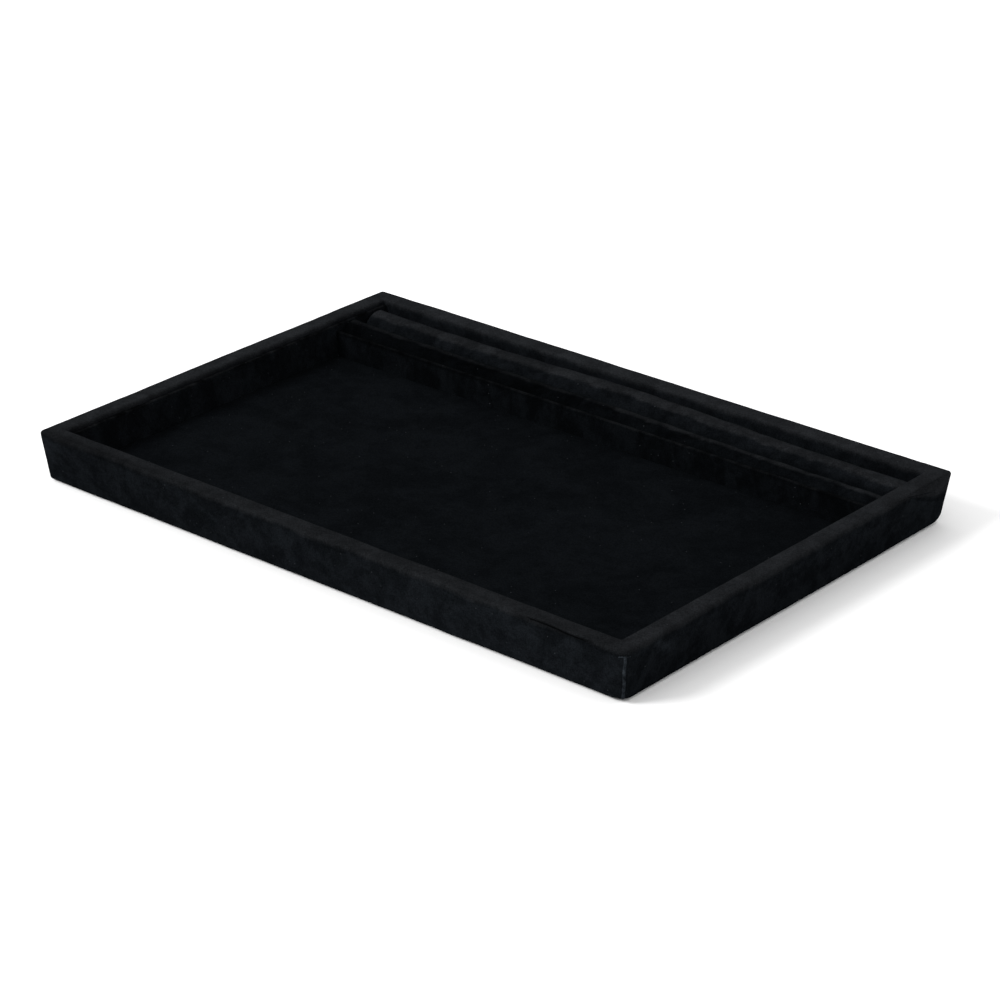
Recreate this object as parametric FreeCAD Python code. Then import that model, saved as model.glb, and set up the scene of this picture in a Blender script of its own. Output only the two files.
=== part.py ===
import FreeCAD, Part
import math
import os

from FreeCAD import Vector

# Jewelry tray: leaning boards covered in velvet, a padded floor, and a ring slot insert along the back wall.
# Millimetres. X runs along the long side, Y from front to back, Z up.
# The origin is on the table, under the middle of the tray.

# Tray, measured over its velvet
TRAY_LENGTH = 350.0
TRAY_WIDTH = 240.0
TRAY_HEIGHT = 25.5
FOOT_INSET = 3.0

# Boards of the walls and the base
WALL_BOARD = 8.0
BASE_BOARD = 3.0
CORNER_RADIUS = 1.3
RIM_RADIUS = 0.9
FOOT_RADIUS = 1.2
EDGE_LIMIT_SHARE = 0.95

# Brads in the mitres and through the base
BRAD_RADIUS = 0.6
BRAD_HEAD_RADIUS = 1.1
BRAD_HEAD = 0.6
BRAD_SINK = 0.6
BRAD_HOLE_CLEARANCE = 0.05
BRAD_SPACING = 6.0
BASE_BRAD_LENGTH = 12.0
CORNER_BRAD_LENGTH = 18.0
BASE_BRADS_ALONG = 5
BASE_BRADS_ACROSS = 3
CORNER_BRAD_SHARES = (0.3, 0.7)

# Velvet round the walls, and the sheet under the base
VELVET = 0.7
HEM_WIDTH = 12.0
UNDERSIDE_SHEET = 0.5
UNDERSIDE_MARGIN = 6.0
UNDERSIDE_CORNER_RADIUS = 4.0

# Liner strips on the inside of the front, left and right walls
LINER_CARD = 1.0
LINER_VELVET = 0.6
LINER_DROP = 2.6

# Padded floor
FLOOR_CARD = 1.0
FLOOR_FOAM = 1.6
FLOOR_VELVET = 0.7
FLOOR_EDGE_RADIUS = 1.2
FLOOR_GAP = 0.2

# Ring slot insert: depth from the back wall, heights measured down from the rim
INSERT_DEPTH = 38.5
INSERT_GAP = 0.3
INSERT_CARD = 1.2
FACING_CARD = 1.2
FACING_VELVET = 0.6
FACING_DROP = 5.6
ROLL_VELVET = 0.7
ROLL_GAP = 0.2
ROLL_END_RADIUS = 2.5
SLOT_WIDTH = 1.6
FRONT_ROLL_WIDTH = 13.6
FRONT_CREST_DROP = 3.6
REAR_CREST_DROP = 2.7

# Crest and shoulders of a roll's section, as shares of its width and of its height
REAR_CREST_SHARE = 0.34
REAR_BACK_SHOULDER_SHARE = 0.74
REAR_SLOT_SHOULDER_SHARE = 0.45
FRONT_CREST_SHARE = 0.36
FRONT_SLOT_SHOULDER_SHARE = 0.72
FRONT_FACING_SHOULDER_SHARE = 0.7

# Cuts run this far past what they cut, and edges are found to this accuracy
OVERRUN = 2.0
NEAR = 0.01

# Levels and widths that follow from the sizes above
HALF_LENGTH = TRAY_LENGTH / 2
HALF_WIDTH = TRAY_WIDTH / 2
LEAN_ANGLE = math.atan2(FOOT_INSET, TRAY_HEIGHT)
HEM_BOTTOM = UNDERSIDE_SHEET
BASE_BOTTOM = HEM_BOTTOM + VELVET
BASE_TOP = BASE_BOTTOM + BASE_BOARD
BOARD_TOP = TRAY_HEIGHT - VELVET
LINER_TOP = TRAY_HEIGHT - LINER_DROP
FLOOR_TOP = BASE_TOP + FLOOR_CARD + FLOOR_FOAM + FLOOR_VELVET
INSERT_CARD_TOP = BASE_TOP + INSERT_CARD
FACING_TOP = TRAY_HEIGHT - FACING_DROP
BOARD_RIM_RADIUS = min(RIM_RADIUS, CORNER_RADIUS * EDGE_LIMIT_SHARE)
BOARD_FOOT_RADIUS = min(FOOT_RADIUS, CORNER_RADIUS * EDGE_LIMIT_SHARE)


def lean_inset(z):
    """How far in from the rim the leaning outer face stands at height z."""
    return (TRAY_HEIGHT - z) * math.tan(LEAN_ANGLE)


def across(thickness):
    """Level width of a leaning layer of that thickness."""
    return thickness / math.cos(LEAN_ANGLE)


WALL_INSIDE = across(VELVET + WALL_BOARD + VELVET)
LINER_INSIDE = WALL_INSIDE + across(LINER_CARD + LINER_VELVET)
FACING_FRONT = HALF_WIDTH - WALL_INSIDE - INSERT_DEPTH
FACING_BACK = FACING_FRONT + FACING_VELVET + FACING_CARD


def leaning_block(z_low, z_high, left, right, front, back):
    """Block whose sides lean with the walls, each set in from the outer face by its own level distance."""
    lean_low = lean_inset(z_low)
    lean_high = lean_inset(z_high)
    x_low, x_high = left - HALF_LENGTH, HALF_LENGTH - right
    y_low, y_high = front - HALF_WIDTH, HALF_WIDTH - back
    block = Part.makeWedge(
        x_low + lean_low, z_low, lean_low - y_high,
        lean_high - y_high, x_low + lean_high,
        x_high - lean_low, z_high, -y_low - lean_low,
        -y_low - lean_high, x_high - lean_high,
    )
    block.rotate(Vector(0, 0, 0), Vector(1, 0, 0), 90)
    return block


def even_block(z_low, z_high, inset):
    """Leaning block set in alike on all four sides."""
    return leaning_block(z_low, z_high, inset, inset, inset, inset)


def level_edges(shape, z):
    """Edges that lie level at height z."""
    return [e for e in shape.Edges if all(abs(v.Z - z) < NEAR for v in e.Vertexes)]


def upright_edges(shape):
    """Edges that climb from one height to another."""
    return [e for e in shape.Edges if abs(e.Vertexes[0].Z - e.Vertexes[-1].Z) > NEAR]


def rounded_block(z_low, z_high, inset, corner, rim, foot):
    """Leaning block with rounded upright corners, rim and foot."""
    block = even_block(z_low, z_high, inset)
    block = block.makeFillet(corner, upright_edges(block))
    block = block.makeFillet(rim, level_edges(block, z_high))
    return block.makeFillet(foot, level_edges(block, z_low))


def hollowed(block, top, inset, rim):
    """The block with the tray's inside cut out of it down to the base, and its inner rim rounded."""
    shell = block.cut(even_block(BASE_TOP, TRAY_HEIGHT + OVERRUN, inset))
    reach_x = HALF_LENGTH - lean_inset(top) - inset + NEAR
    reach_y = HALF_WIDTH - lean_inset(top) - inset + NEAR
    inner = []
    for edge in level_edges(shell, top):
        box = edge.BoundBox
        if max(-box.XMin, box.XMax) < reach_x and max(-box.YMin, box.YMax) < reach_y:
            inner.append(edge)
    return shell.makeFillet(rim, inner)


def side_wedges():
    """Upright prisms over the four sides of the tray, which meet on the mitres."""
    reach = FOOT_INSET + max(HEM_WIDTH, LINER_INSIDE) + OVERRUN
    out_x, out_y = HALF_LENGTH + OVERRUN, HALF_WIDTH + OVERRUN
    in_x, in_y = HALF_LENGTH - reach, HALF_WIDTH - reach
    plans = {
        "front": [(-out_x, -out_y), (out_x, -out_y), (in_x, -in_y), (-in_x, -in_y)],
        "back": [(out_x, out_y), (-out_x, out_y), (-in_x, in_y), (in_x, in_y)],
        "left": [(-out_x, out_y), (-out_x, -out_y), (-in_x, -in_y), (-in_x, in_y)],
        "right": [(out_x, -out_y), (out_x, out_y), (in_x, in_y), (in_x, -in_y)],
    }
    wedges = {}
    for side, plan in plans.items():
        points = [Vector(x, y, 0) for x, y in plan + plan[:1]]
        face = Part.Face(Part.makePolygon(points))
        wedges[side] = face.extrude(Vector(0, 0, TRAY_HEIGHT + OVERRUN))
    return wedges


def board_tray():
    """Base and walls in one, before they are parted and drilled."""
    block = rounded_block(
        BASE_BOTTOM, BOARD_TOP, across(VELVET), CORNER_RADIUS, BOARD_RIM_RADIUS, BOARD_FOOT_RADIUS
    )
    return hollowed(block, BOARD_TOP, across(VELVET + WALL_BOARD), BOARD_RIM_RADIUS)


def velvet_tray(boards):
    """The velvet round the walls, with its hem under the base, before it is parted at the mitres."""
    block = rounded_block(
        HEM_BOTTOM,
        TRAY_HEIGHT,
        0,
        CORNER_RADIUS + VELVET,
        BOARD_RIM_RADIUS + VELVET,
        BOARD_FOOT_RADIUS + VELVET,
    )
    shell = hollowed(block, TRAY_HEIGHT, WALL_INSIDE, BOARD_RIM_RADIUS + VELVET)
    middle_of_base = (BASE_BOTTOM + BASE_TOP) / 2
    within_hem = even_block(HEM_BOTTOM - OVERRUN, middle_of_base, HEM_WIDTH)
    return shell.cut(boards).cut(within_hem)


def spaced(count, half_span):
    """Places that share a span evenly, from one end to the other."""
    return [half_span * (2 * i / (count - 1) - 1) for i in range(count)]


def base_brad_places():
    """Start and direction of each brad that comes up through the base into a wall's middle."""
    inset = lean_inset(BASE_TOP) + across(VELVET + WALL_BOARD / 2)
    end = inset + CORNER_BRAD_LENGTH + BRAD_SPACING
    places = []
    for sign in (-1, 1):
        for x in spaced(BASE_BRADS_ALONG, HALF_LENGTH - end):
            places.append((Vector(x, sign * (HALF_WIDTH - inset), BASE_BOTTOM), Vector(0, 0, 1)))
        for y in spaced(BASE_BRADS_ACROSS, HALF_WIDTH - end):
            places.append((Vector(sign * (HALF_LENGTH - inset), y, BASE_BOTTOM), Vector(0, 0, 1)))
    return places


def corner_brad_places():
    """Start and direction of each brad that goes through a short wall's mitre into a long wall's end."""
    places = []
    for share in CORNER_BRAD_SHARES:
        z = BASE_TOP + share * (BOARD_TOP - BASE_TOP)
        x = HALF_LENGTH - lean_inset(z) - across(VELVET) - BRAD_SINK
        y = HALF_WIDTH - lean_inset(z) - across(VELVET + WALL_BOARD / 2)
        for sign_x in (-1, 1):
            for sign_y in (-1, 1):
                places.append((Vector(sign_x * x, sign_y * y, z), Vector(-sign_x, 0, 0)))
    return places


def brad(start, direction, length):
    shank = Part.makeCylinder(BRAD_RADIUS, length, start, direction)
    head = Part.makeCylinder(BRAD_HEAD_RADIUS, BRAD_HEAD, start, direction)
    return shank.fuse(head).removeSplitter()


def brad_hole(start, direction, length):
    """Hole for a brad, open at its head."""
    shank_radius = BRAD_RADIUS + BRAD_HOLE_CLEARANCE
    head_radius = BRAD_HEAD_RADIUS + BRAD_HOLE_CLEARANCE
    mouth = start - direction * OVERRUN
    shank = Part.makeCylinder(shank_radius, length + BRAD_HOLE_CLEARANCE, start, direction)
    head = Part.makeCylinder(head_radius, BRAD_HEAD + OVERRUN, mouth, direction)
    return shank.fuse(head)


def underside_sheet():
    """Sheet that covers the hems, set in from the tray's foot."""
    half_x = HALF_LENGTH - FOOT_INSET - UNDERSIDE_MARGIN
    half_y = HALF_WIDTH - FOOT_INSET - UNDERSIDE_MARGIN
    sheet = Part.makeBox(2 * half_x, 2 * half_y, UNDERSIDE_SHEET, Vector(-half_x, -half_y, 0))
    return sheet.makeFillet(UNDERSIDE_CORNER_RADIUS, upright_edges(sheet))


def liner_strips(top, thickness):
    """Strips of that thickness against the inside of the front, left and right walls."""
    inside = WALL_INSIDE + across(thickness)
    outer = even_block(BASE_TOP, top, WALL_INSIDE)
    inner = leaning_block(BASE_TOP - OVERRUN, top + OVERRUN, inside, inside, inside, WALL_INSIDE - OVERRUN)
    return outer.cut(inner)


def liner_pieces(strips, wedges):
    """The strips parted at the front mitres; the side strips run on to the back wall."""
    sides = strips.cut(wedges["front"])
    half = Vector(TRAY_LENGTH, TRAY_WIDTH, TRAY_HEIGHT)
    left_half = Part.makeBox(half.x, half.y, half.z, Vector(-half.x, -HALF_WIDTH, 0))
    right_half = Part.makeBox(half.x, half.y, half.z, Vector(0, -HALF_WIDTH, 0))
    return {
        "front": strips.common(wedges["front"]),
        "left": sides.common(left_half),
        "right": sides.common(right_half),
    }


def floor_block(top, inset, radius):
    """Floor pad from the base up to that height, set in from its own outer face, with its top edge rounded."""
    side = LINER_INSIDE + across(FLOOR_GAP + inset)
    block = leaning_block(BASE_TOP, top, side, side, side, WALL_INSIDE)
    back = FACING_FRONT - INSERT_GAP - inset
    behind = Part.makeBox(TRAY_LENGTH, TRAY_WIDTH, TRAY_HEIGHT, Vector(-HALF_LENGTH, back, 0))
    block = block.cut(behind)
    return block.makeFillet(radius, level_edges(block, top))


def floor_pieces():
    """Velvet over the pad, with the foam and the card that it covers."""
    core_radius = max(FLOOR_EDGE_RADIUS - FLOOR_VELVET, FLOOR_EDGE_RADIUS * (1 - EDGE_LIMIT_SHARE))
    core = floor_block(FLOOR_TOP - FLOOR_VELVET, FLOOR_VELVET, core_radius)
    cover = floor_block(FLOOR_TOP, 0, FLOOR_EDGE_RADIUS).cut(core)
    card_space = even_block(BASE_TOP - OVERRUN, BASE_TOP + FLOOR_CARD, 0)
    return {
        "floor_card": core.common(card_space),
        "floor_foam": core.cut(card_space),
        "floor_velvet": cover,
    }


def insert_space(inset):
    """The room between the side liners and in front of the back wall, less the insert's gap."""
    side = LINER_INSIDE + across(INSERT_GAP + inset)
    back = WALL_INSIDE + across(INSERT_GAP)
    return leaning_block(BASE_TOP, TRAY_HEIGHT, side, side, side, back)


def insert_bar(y_low, y_high, z_low, z_high, inset):
    """Plain bar across the insert, with its ends leaning like the side walls."""
    size = Vector(TRAY_LENGTH, y_high - y_low, z_high - z_low)
    bar = Part.makeBox(size.x, size.y, size.z, Vector(-HALF_LENGTH, y_low, z_low))
    return bar.common(insert_space(inset))


def facing_pieces():
    """Upright card in front of the rolls, with velvet over its face and its top edge."""
    card_front = FACING_FRONT + FACING_VELVET
    card = insert_bar(card_front, FACING_BACK, BASE_TOP, FACING_TOP - FACING_VELVET, 0)
    whole = insert_bar(FACING_FRONT, FACING_BACK, BASE_TOP, FACING_TOP, 0)
    return {"facing_card": card, "facing_velvet": whole.cut(card)}


def crest_radius(run, fall):
    """Radius of the arc that leaves a crest level and falls that far over that run."""
    return (run * run + fall * fall) / (2 * fall)


def roll_section(y_back, width, height, shares, inset):
    """Section of a roll: flat foot, upright sides, and two arcs that meet level at the crest."""
    crest_share, back_share, front_share = shares
    back_run = width * crest_share
    front_run = width - back_run
    y_crest = y_back - back_run
    crest = INSERT_CARD_TOP + height
    corners = []
    middles = []
    for sign, run, share in ((1, back_run, back_share), (-1, front_run, front_share)):
        radius = crest_radius(run, height * (1 - share))
        centre = crest - radius
        reach = run - inset
        for part, points in ((reach, corners), (reach / 2, middles)):
            rise = math.sqrt((radius - inset) ** 2 - part**2)
            points.append(Vector(-HALF_LENGTH, y_crest + sign * part, centre + rise))
    top = Vector(-HALF_LENGTH, y_crest, crest - inset)
    feet = [Vector(p.x, p.y, INSERT_CARD_TOP) for p in corners]
    edges = [
        Part.LineSegment(feet[0], corners[0]).toShape(),
        Part.Arc(corners[0], middles[0], top).toShape(),
        Part.Arc(top, middles[1], corners[1]).toShape(),
        Part.LineSegment(corners[1], feet[1]).toShape(),
        Part.LineSegment(feet[1], feet[0]).toShape(),
    ]
    return Part.Face(Part.Wire(edges))


def roll_elevation(crest, inset):
    """Side view of a roll: leaning ends that round over to its crest."""
    radius = max(ROLL_END_RADIUS - inset, ROLL_END_RADIUS * (1 - EDGE_LIMIT_SHARE))
    side = LINER_INSIDE + across(INSERT_GAP + inset)
    shoulder = crest - inset - radius
    foot_x = HALF_LENGTH - lean_inset(INSERT_CARD_TOP) - side
    shoulder_x = HALF_LENGTH - lean_inset(shoulder) - side
    slant = radius * math.cos(math.pi / 4)
    bow_x = shoulder_x - radius + slant
    ends = []
    for sign in (1, -1):
        places = [
            (foot_x, INSERT_CARD_TOP),
            (shoulder_x, shoulder),
            (bow_x, shoulder + slant),
            (shoulder_x - radius, shoulder + radius),
        ]
        ends.append([Vector(sign * x, FACING_FRONT, z) for x, z in places])
    right, left = ends
    edges = [
        Part.LineSegment(right[0], right[1]).toShape(),
        Part.Arc(right[1], right[2], right[3]).toShape(),
        Part.LineSegment(right[3], left[3]).toShape(),
        Part.Arc(left[3], left[2], left[1]).toShape(),
        Part.LineSegment(left[1], left[0]).toShape(),
        Part.LineSegment(left[0], right[0]).toShape(),
    ]
    return Part.Face(Part.Wire(edges))


def roll_bar(y_back, width, height, shares, inset):
    """A roll along the insert: its section run from end to end, within its side view."""
    section = roll_section(y_back, width, height, shares, inset)
    elevation = roll_elevation(INSERT_CARD_TOP + height, inset)
    bar = section.extrude(Vector(TRAY_LENGTH, 0, 0))
    return bar.common(elevation.extrude(Vector(0, HALF_WIDTH - FACING_FRONT, 0)))


def roll_pieces():
    """Two foam rolls in velvet sleeves, with the ring slot between them."""
    back_of_rear = HALF_WIDTH - lean_inset(BASE_TOP) - WALL_INSIDE - across(INSERT_GAP)
    front_of_front = FACING_BACK + ROLL_GAP
    back_of_front = front_of_front + FRONT_ROLL_WIDTH
    rear_width = back_of_rear - back_of_front - SLOT_WIDTH
    rear_shares = (REAR_CREST_SHARE, REAR_BACK_SHOULDER_SHARE, REAR_SLOT_SHOULDER_SHARE)
    front_shares = (FRONT_CREST_SHARE, FRONT_SLOT_SHOULDER_SHARE, FRONT_FACING_SHOULDER_SHARE)
    rolls = {
        "rear_roll": (back_of_rear, rear_width, TRAY_HEIGHT - REAR_CREST_DROP - INSERT_CARD_TOP, rear_shares),
        "front_roll": (
            back_of_front,
            FRONT_ROLL_WIDTH,
            TRAY_HEIGHT - FRONT_CREST_DROP - INSERT_CARD_TOP,
            front_shares,
        ),
    }
    pieces = {}
    for name, sizes in rolls.items():
        foam = roll_bar(*sizes, ROLL_VELVET)
        pieces[name + "_foam"] = foam
        pieces[name + "_velvet"] = roll_bar(*sizes, 0).cut(foam)
    return pieces


def tray_pieces():
    """Boards, brads, wall velvet, underside, liners and floor."""
    wedges = side_wedges()
    boards = board_tray()
    velvet = velvet_tray(boards)
    base_space = even_block(BASE_BOTTOM - OVERRUN, BASE_TOP, 0)
    base_places = base_brad_places()
    corner_places = corner_brad_places()
    holes = [brad_hole(*place, BASE_BRAD_LENGTH) for place in base_places]
    holes += [brad_hole(*place, CORNER_BRAD_LENGTH) for place in corner_places]
    drilled = boards.cut(holes)
    walls = drilled.cut(base_space)
    pieces = {
        "base_board": drilled.common(base_space),
        "base_brads": Part.makeCompound([brad(*place, BASE_BRAD_LENGTH) for place in base_places]),
        "corner_brads": Part.makeCompound([brad(*place, CORNER_BRAD_LENGTH) for place in corner_places]),
        "underside_sheet": underside_sheet(),
    }
    for side, wedge in wedges.items():
        pieces[side + "_wall_board"] = walls.common(wedge)
        pieces[side + "_wall_velvet"] = velvet.common(wedge)
    strips = liner_strips(LINER_TOP, LINER_CARD + LINER_VELVET)
    cards = liner_strips(LINER_TOP - LINER_VELVET, LINER_CARD)
    for side, card in liner_pieces(cards, wedges).items():
        pieces[side + "_liner_card"] = card
    for side, cover in liner_pieces(strips.cut(cards), wedges).items():
        pieces[side + "_liner_velvet"] = cover
    pieces.update(floor_pieces())
    return pieces


def insert_pieces():
    """The ring slot insert: its card, its facing and its rolls."""
    pieces = {"insert_card": insert_bar(FACING_BACK, HALF_WIDTH, BASE_TOP, INSERT_CARD_TOP, 0)}
    pieces.update(facing_pieces())
    pieces.update(roll_pieces())
    return pieces


def write(pieces):
    os.makedirs("parts", exist_ok=True)
    for name, shape in sorted(pieces.items()):
        shape.exportStep("parts/" + name + ".step")
        print(name, "solids", len(shape.Solids), "valid", shape.isValid(), "mm3", round(shape.Volume, 1))


write({**tray_pieces(), **insert_pieces()})
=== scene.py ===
# %% [markdown]
# # A velvet jewelry tray
# The object is a low display tray: fibreboard walls wrapped in black velvet, liner strips inside them, a
# padded floor, and a ring slot of two velvet rolls that lifts out at the back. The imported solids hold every
# size. This lesson keeps the hard solids, apart from the base, and replaces each soft one with cloth or foam.

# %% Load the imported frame
import math

import bmesh
import bpy
import numpy as np
from mathutils import Matrix, Vector, noise


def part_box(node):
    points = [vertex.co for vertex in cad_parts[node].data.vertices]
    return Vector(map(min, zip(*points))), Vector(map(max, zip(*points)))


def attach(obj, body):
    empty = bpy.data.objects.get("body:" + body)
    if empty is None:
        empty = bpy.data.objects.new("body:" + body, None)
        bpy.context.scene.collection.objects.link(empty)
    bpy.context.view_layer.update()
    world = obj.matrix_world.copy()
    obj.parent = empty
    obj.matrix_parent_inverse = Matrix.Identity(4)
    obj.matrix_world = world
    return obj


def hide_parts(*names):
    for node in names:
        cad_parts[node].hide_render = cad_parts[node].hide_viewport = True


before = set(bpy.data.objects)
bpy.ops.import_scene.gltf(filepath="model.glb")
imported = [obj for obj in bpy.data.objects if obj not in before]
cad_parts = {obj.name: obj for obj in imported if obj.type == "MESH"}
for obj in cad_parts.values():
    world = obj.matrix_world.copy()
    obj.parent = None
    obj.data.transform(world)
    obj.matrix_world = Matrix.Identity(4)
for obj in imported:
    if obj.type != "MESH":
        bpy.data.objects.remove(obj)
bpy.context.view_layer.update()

# %% [markdown]
# ## The photograph's camera
# The view comes from a camera fitted to the tray's outline: 40 degrees round to the right, 25 degrees up,
# with a long lens from 1.6 m away. A long lens keeps opposite sides nearly parallel, as a product photograph
# does. The camera could be aimed with a constraint, but writing its axes into a matrix also keeps the
# picture's slight roll.

# %% Camera
VIEW_AZIMUTH, VIEW_ELEVATION, VIEW_ROLL = [math.radians(angle) for angle in (40.225, 24.64, 0.189)]
VIEW_DISTANCE = 1.588957
VIEW_SLIDE = (0.004864, 0.000201)
LENS_PER_WIDTH, SENSOR_WIDTH = 3.42265, 36.0


def photograph_camera():
    """A camera at these angles and this distance, slid a little along its picture."""
    a, e, r = VIEW_AZIMUTH, VIEW_ELEVATION, VIEW_ROLL
    back = Vector((math.sin(a) * math.cos(e), -math.cos(a) * math.cos(e), math.sin(e)))
    level = Vector((math.cos(a), math.sin(a), 0))
    rise = back.cross(level)
    right = math.cos(r) * level + math.sin(r) * rise
    up = math.cos(r) * rise - math.sin(r) * level
    place = VIEW_SLIDE[0] * right + VIEW_SLIDE[1] * up + VIEW_DISTANCE * back
    camera = bpy.data.objects.new("photograph_camera", bpy.data.cameras.new("photograph_camera"))
    bpy.context.scene.collection.objects.link(camera)
    camera.matrix_world = Matrix.Translation(place) @ Matrix((right, up, back)).transposed().to_4x4()
    camera.data.sensor_width = SENSOR_WIDTH
    camera.data.lens = LENS_PER_WIDTH * SENSOR_WIDTH
    camera.data.clip_start, camera.data.clip_end = 0.01, 100.0
    return camera


bpy.context.scene.camera = photograph_camera()
print("camera at", [round(v, 3) for v in bpy.context.scene.camera.location])

# %% [markdown]
# ## Selecting as by hand
# Operators act on whatever is selected, and loading the frame leaves its nodes selected. So each piece starts
# from an empty selection, and in edit mode its edges are picked by where they are. Extruding leaves edges
# and faces in an order that changes from run to run, and cloth that swells depends on it a little, so they
# are sorted by the numbers of their points. Every piece also ends alike: its modifiers are applied, its
# shading is smoothed, and it is seated on the body that it moves with.

# %% Helpers for starting, picking and finishing
MM = 0.001
SMOOTH_ANGLE = math.radians(50)


def begin(name, add_primitive, **sizes):
    """Adds a primitive, names it, and opens it for editing by edges with all of it selected."""
    bpy.ops.object.select_all(action="DESELECT")
    add_primitive(**sizes)
    piece = bpy.context.object
    piece.name = piece.data.name = name
    bpy.context.tool_settings.mesh_select_mode = (False, True, False)
    bpy.ops.object.mode_set(mode="EDIT")
    bpy.ops.mesh.select_all(action="SELECT")
    return piece


def begin_grid(name, columns, rows):
    """Starts a piece from a flat grid with sides of 1."""
    sizes = {"x_subdivisions": columns, "y_subdivisions": rows, "size": 1}
    return begin(name, bpy.ops.mesh.primitive_grid_add, **sizes)


def pick_edges(piece, wanted):
    """Selects the edges whose two ends satisfy wanted(a, b)."""
    bpy.ops.mesh.select_all(action="DESELECT")
    mesh = bmesh.from_edit_mesh(piece.data)
    for edge in mesh.edges:
        if wanted(edge.verts[0].co, edge.verts[1].co):
            edge.select_set(True)
    mesh.select_flush_mode()
    bmesh.update_edit_mesh(piece.data)


def agree_normals():
    """Makes all faces of the piece that is open for editing look the same way."""
    bpy.ops.mesh.select_all(action="SELECT")
    bpy.ops.mesh.normals_make_consistent(inside=False)


def put_in_order(piece):
    """Sorts edges and faces by the numbers of their points."""
    mesh = bmesh.new()
    mesh.from_mesh(piece.data)
    count = len(mesh.verts)

    def span(element):
        numbers = [vertex.index for vertex in element.verts]
        return min(numbers) * count + max(numbers)

    mesh.edges.sort(key=span)
    mesh.faces.sort(key=span)
    mesh.to_mesh(piece.data)
    mesh.free()


def end_extruding(piece):
    """Leaves edit mode with all faces looking the same way, and edges and faces in order."""
    agree_normals()
    bpy.ops.object.mode_set(mode="OBJECT")
    put_in_order(piece)


def apply_modifiers(piece):
    """Makes a piece the only one selected, and applies its modifiers."""
    bpy.ops.object.select_all(action="DESELECT")
    bpy.context.view_layer.objects.active = piece
    piece.select_set(True)
    for modifier in list(piece.modifiers):
        bpy.ops.object.modifier_apply(modifier=modifier.name)


def report(piece):
    """Prints a piece's number of faces, and its lowest and highest corner in millimetres."""
    axes = list(zip(*[vertex.co / MM for vertex in piece.data.vertices]))
    low, high = [[round(end(axis), 1) for axis in axes] for end in (min, max)]
    print(piece.name, "faces", len(piece.data.polygons), "from", low, "to", high, "mm")


def finish_piece(piece):
    apply_modifiers(piece)
    bpy.ops.object.shade_smooth_by_angle(angle=SMOOTH_ANGLE)
    report(piece)


def seat(piece, body, slot, *solids):
    """Says which body a piece moves with and which solids it stands for. slot is not used."""
    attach(piece, body)
    if solids:
        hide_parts(*solids)


# %% [markdown]
# ## Lines that cloth follows
# Cloth that is glued over boards follows their section, with its corners rounded by its own thickness. A
# section is drawn as a bent line, its corners are rounded, and long runs are divided, so that every later
# move stays smooth.

# %% Bent lines with rounded corners
def rounded_line(corners, radii, steps=5):
    """Points along a bent line whose inner corners are rounded to these radii."""
    points = [Vector(corners[0])]
    for before, at, after, radius in zip(corners, corners[1:], corners[2:], radii):
        at = Vector(at)
        back, ahead = (Vector(before) - at).normalized(), (Vector(after) - at).normalized()
        half = back.angle(ahead) / 2
        centre = at + (back + ahead).normalized() * radius / math.sin(half)
        first = at + back * radius / math.tan(half) - centre
        last = at + ahead * radius / math.tan(half) - centre
        turn = math.pi - 2 * half
        for i in range(steps + 1):
            share = i / steps
            blend = first * math.sin((1 - share) * turn) + last * math.sin(share * turn)
            points.append(centre + blend / math.sin(turn))
    points.append(Vector(corners[-1]))
    return points


def divided(points, longest):
    """The same line with each run cut into pieces no longer than this."""
    out = [points[0]]
    for a, b in zip(points, points[1:]):
        count = max(1, math.ceil((b - a).length / longest))
        out += [a.lerp(b, (i + 1) / count) for i in range(count)]
    return out


def line_length(points):
    return sum((b - a).length for a, b in zip(points, points[1:]))


# %% [markdown]
# ## The tray's own sizes
# These are the solids' driving sizes: the outer walls lean in towards the foot, and every layer inside leans
# with them. One function says how far in the walls stand at any height, so that all the cloth keeps to them.

# %% Sizes shared by the pieces
LENGTH, WIDTH, HEIGHT = 350 * MM, 240 * MM, 25.5 * MM
FOOT_INSET, HEM_Z = 3.0 * MM, 0.5 * MM
WALL_BOARD, BASE_BOARD = 8.0 * MM, 3.0 * MM
VELVET, LINER_VELVET = 0.7 * MM, 0.6 * MM
LINER_LAYERS, FACING_LAYERS = 1.6 * MM, 1.8 * MM
BASE_TOP = HEM_Z + VELVET + BASE_BOARD
LEAN = FOOT_INSET / HEIGHT
SLANT = math.hypot(1, LEAN)
WALL_IN = (WALL_BOARD + 2 * VELVET) * SLANT
LINER_IN = WALL_IN + LINER_LAYERS * SLANT


def lean(z):
    """How far in from the rim the leaning walls stand at height z."""
    return (HEIGHT - z) * LEAN


def top_of(solid):
    """Height of a solid's highest point."""
    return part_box(solid)[1].z


LINER_TOP, FACING_TOP = top_of("front_liner_velvet"), top_of("facing_velvet")
print("wall", round(WALL_IN / MM, 2), "liner", round(LINER_IN / MM, 2), "foot", round(lean(0) / MM, 2), "mm")

# %% [markdown]
# ## Velvet round the walls
# One strip of velvet goes all round the walls: its hem is under the base, it climbs the leaning outside,
# rolls over the rim and runs down the inside. It could be four flat panels, but the photograph shows no joint
# along the rim, so it is one ring. A plane gets rounded corners, its sides are divided, and the bare loop is
# then extruded ring by ring, and resized each time to the next point of the wall's section.

# %% Loop for the wall velvet
CORNER_RADIUS, LOOP_SEGMENTS = 2.0 * MM, 6
FOOT_ROUND, RIM_ROUND = 1.9 * MM, 1.6 * MM
HEM_WIDTH, LOOP_STEP = 12 * MM, 2.4 * MM


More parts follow.
